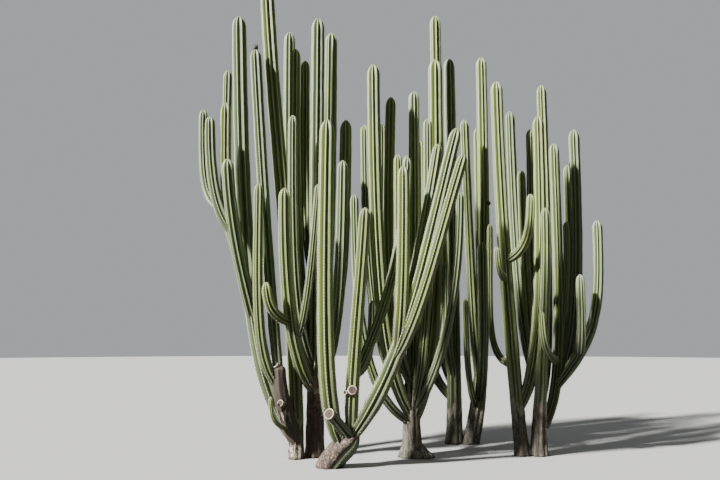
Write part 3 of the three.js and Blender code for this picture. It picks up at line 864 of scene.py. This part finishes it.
def cutWood():
    paint = Paint(bpy.data.materials.new("cut_wood"))
    ring = paint.acrossUV()
    ragged = paint.noise(paint.objectPlace(), 60.0, 3.0, 0.7)
    wobbly = ring + (ragged - 0.5) * 0.16
    colour = paint.node("ShaderNodeValToRGB", {"stops": cutForm["colours"]}, {"Fac": wobbly})
    colour = paint.mix(paint.step(ragged, 0.56, 0.66) * 0.6, colour, cutForm["chips"])
    return paint.finish(colour, 0.85, ragged + ring * 0.4, 0.5, 0.003)


# move what was built upright at the origin to its place, and make it a piece
def plant(name, bm, place, way, material):
    turn = Vector(way).to_track_quat("Z", "Y").to_matrix().to_4x4()
    bmesh.ops.transform(bm, matrix=Matrix.Translation(place) @ turn, verts=bm.verts)
    newPiece(name, bm, material)


def growCutShoot(name, face, way, radius, long, material):
    form = cutForm
    bm = bmesh.new()
    uv = bm.loops.layers.uv.new("UVMap")
    bmesh.ops.create_cone(bm, segments=form["sides"], radius1=radius * form["foot"], radius2=radius,
                          depth=long, cap_ends=True)
    bmesh.ops.translate(bm, verts=bm.verts, vec=(0, 0, -long / 2))
    rim = [edge for edge in bm.edges if all(vert.co.z > -0.001 for vert in edge.verts)]
    bmesh.ops.bevel(bm, geom=rim, offset=radius * form["edge"], affect="EDGES", segments=3, profile=0.5,
                    material=-1)
    top = max(bm.faces, key=lambda one: one.calc_center_median().z)
    for inset, step in form["rings"]:
        bmesh.ops.inset_individual(bm, faces=[top], thickness=radius * inset, depth=step)
    for vert in bm.verts:
        rough = uneven(vert.co * form["roughScale"] + Vector(face) * 7)
        vert.co += Vector((vert.co.x, vert.co.y, form["roughDepth"] * radius)) * rough * form["rough"]
    for part in bm.faces:
        for loop in part.loops:
            loop[uv].uv = (min(loop.vert.co.xy.length / radius, 1), loop.vert.co.z)
    plant(name, bm, face, way, material)


print("scars: cut shoots, loose bark and dry flowers")
cutPaint = cutWood()
for name, shoot in cutShoots.items():
    growCutShoot(name, *shoot, cutPaint)

# loose strips of dry skin: the limb, where they start along it, the way they face, how many, and the slot
looseSkin = {
    "stump_strips": ("left_stump", (0.22, 0.45), (-0.3, -0.95, 0), 9, "green_skin"),
    "stem_strips": ("left_stem", (0.07, 0.16), (-0.75, -0.65, 0), 8, "bark"),
    "collar_strips": ("left_arm_2", (0.03, 0.12), (0.4, -0.9, 0), 12, "green_skin"),
}
stripForm = {
    "long": (0.09, 0.2),
    "wide": (0.010, 0.022),
    "thick": 0.0025,
    "faces": (2, 9),         # across and along
    "narrows": 0.75,         # towards its ends
    "widestAt": 0.4,
    "narrowest": 0.12,
    "peel": 0.028,           # how far its end stands off
    "peelShare": (0.3, 1),
    "peelFrom": 0.35,        # the share of its length that lies flat
    "off": 0.002,
    "lean": 0.25,
    "spread": 0.75,          # how far round the limb they lie, in radians
}


def papers(name, dark, pale):
    paint = Paint(bpy.data.materials.new(name))
    place = paint.objectPlace()
    streaks = paint.noise(paint.stretched(place, (90.0, 90.0, 12.0)), 1.0, 4.0, 0.6)
    colour = paint.mix(paint.step(streaks, 0.36, 0.62), dark, pale)
    return paint.finish(colour, 0.8, streaks, 0.4, 0.002)


def growStrips(name, limb, start, way, count, slot, material):
    form = stripForm
    skin = skins[limb]
    facing = skin.angleOf(way)
    dice = random.Random(name)
    bm = bmesh.new()
    for _ in range(count):
        first = dice.uniform(*start)
        long = dice.uniform(*form["long"])
        wide = dice.uniform(*form["wide"])
        turn = facing + dice.uniform(-1, 1) * form["spread"]
        peel = form["peel"] * dice.uniform(*form["peelShare"])
        lean = dice.uniform(-form["lean"], form["lean"])
        across, along = form["faces"]
        grid = bmesh.ops.create_grid(bm, x_segments=across, y_segments=along, size=0.5)["verts"]
        radius = float(skin.radius(numpy.array([first]), numpy.array([turn]))[0])
        for vert in grid:
            share = vert.co.y + 0.5
            narrow = 1 - form["narrows"] * abs(2 * share - 2 * form["widestAt"]) ** 2
            angle = turn + lean * share + vert.co.x * wide * max(narrow, form["narrowest"]) / radius
            lift = form["off"] + peel * smoothStep(form["peelFrom"], 1, share) + abs(vert.co.x) * wide * 0.5
            spot = skin.places(numpy.array([first + long * share]), numpy.array([angle]), float(lift))[0][0]
            vert.co = Vector(spot)
    bmesh.ops.recalc_face_normals(bm, faces=bm.faces[:])
    bmesh.ops.solidify(bm, geom=bm.faces[:], thickness=form["thick"])
    newPiece(name, bm, material)


dryPaint = papers("dry_skin", (0.20, 0.15, 0.105), (0.50, 0.43, 0.34))
for name, strips in looseSkin.items():
    growStrips(name, *strips, dryPaint)

# dry flowers: the middle, the size and the way they point
dryFlowers = {
    "dry_flower_1": ((-2.137, -0.30, 5.555), 0.034, (0.1, -0.1, 1)),
    "dry_flower_2": ((1.305, 1.05, 3.62), 0.026, (-0.8, -0.4, 0.6)),
}
# lengths and widths as shares of a flower's size
flowerForm = {"roughScale": 50, "rough": 0.25, "tall": 1.25, "petals": 14, "petalFoot": 0.3, "petalTip": 0.04,
              "petalLong": 1.3, "petalAt": 1.2, "lean": 0.8}


def growFlower(name, middle, size, way, material):
    form = flowerForm
    dice = random.Random(name)
    bm = bmesh.new()
    bmesh.ops.create_icosphere(bm, subdivisions=3, radius=size)
    for vert in bm.verts:
        vert.co *= 1 + form["rough"] * uneven(vert.co * form["roughScale"])
        vert.co.z *= form["tall"]
    for _ in range(form["petals"]):
        petal = bmesh.ops.create_cone(bm, segments=5, radius1=size * form["petalFoot"],
                                      radius2=size * form["petalTip"], depth=size * form["petalLong"],
                                      cap_ends=True)["verts"]
        bmesh.ops.translate(bm, verts=petal, vec=(0, 0, size * form["petalAt"]))
        lean = [dice.uniform(-form["lean"], form["lean"]) for _ in range(2)]
        bmesh.ops.rotate(bm, verts=petal, matrix=Euler((*lean, 0)).to_matrix())
    plant(name, bm, middle, way, material)


brownPaint = papers("dry_flower", (0.02, 0.014, 0.011), (0.12, 0.09, 0.07))
for name, flower in dryFlowers.items():
    growFlower(name, *flower, brownPaint)

stage = {
    "floor": (0.36, 0.355, 0.34),
    "wall": (0.80, 0.83, 0.86),
    "wallLight": 0.5,        # the backdrop as the camera sees it
    "skyLight": 0.40,        # soft light from above
    "lowLight": 0.04,        # and from the sides
    "skyEdge": (0.1, 0.6),
    "sunStrength": 15.5,
    "sunSpread": 4,
    "sunFrom": (-0.65, -0.46, 0.61),
    "floorSize": 60,
}


def buildStage():
    bm = bmesh.new()
    bmesh.ops.create_circle(bm, cap_ends=True, segments=64, radius=stage["floorSize"])
    mesh = bpy.data.meshes.new("floor")
    bm.to_mesh(mesh)
    bm.free()
    paint = Paint(bpy.data.materials.new("pale_floor"))
    mesh.materials.append(paint.finish(stage["floor"], 0.9))
    floor = newObject("floor", mesh)
    floor.visible_diffuse = False  # no light bounces up from the pale floor onto the limbs
    sky = Paint(bpy.data.worlds.new("studio"))
    height = sky.part(sky.node("ShaderNodeTexCoord", {}, {}, "Generated"), "Z")
    light = sky.step(height, *stage["skyEdge"]) * (stage["skyLight"] - stage["lowLight"]) + stage["lowLight"]
    seen = sky.node("ShaderNodeLightPath", {}, {}, "Is Camera Ray")
    strength = seen * stage["wallLight"] + (1 - seen) * light
    back = sky.node("ShaderNodeBackground", {}, {"Color": stage["wall"], "Strength": strength})
    sky.node("ShaderNodeOutputWorld", {}, {"Surface": back})
    bpy.context.scene.world = sky.owner
    sun = bpy.data.lights.new("key", "SUN")
    sun.energy = stage["sunStrength"]
    sun.angle = math.radians(stage["sunSpread"])
    newObject("key", sun).rotation_euler = Vector(stage["sunFrom"]).to_track_quat("Z", "Y").to_euler()


# the photograph in pixels, and where its camera stood in metres
photo = {
    "width": 720,
    "focal": 700,
    "horizonBelow": 100,     # how far the horizon lies below the picture's middle
    "place": (-0.684, -9.57, 1.53),
    "sensor": 36,            # millimetres
    "farthest": 200,
}


def buildCamera():
    lens = bpy.data.cameras.new("camera")
    lens.sensor_fit = "HORIZONTAL"
    lens.sensor_width = photo["sensor"]
    lens.lens = photo["sensor"] * photo["focal"] / photo["width"]
    lens.clip_end = photo["farthest"]
    camera = newObject("camera", lens)
    camera.location = photo["place"]
    camera.rotation_euler = (math.pi / 2 + math.atan(photo["horizonBelow"] / photo["focal"]), 0, 0)
    bpy.context.scene.camera = camera


print("stage: floor, light and camera")
buildStage()
buildCamera()

print("done")
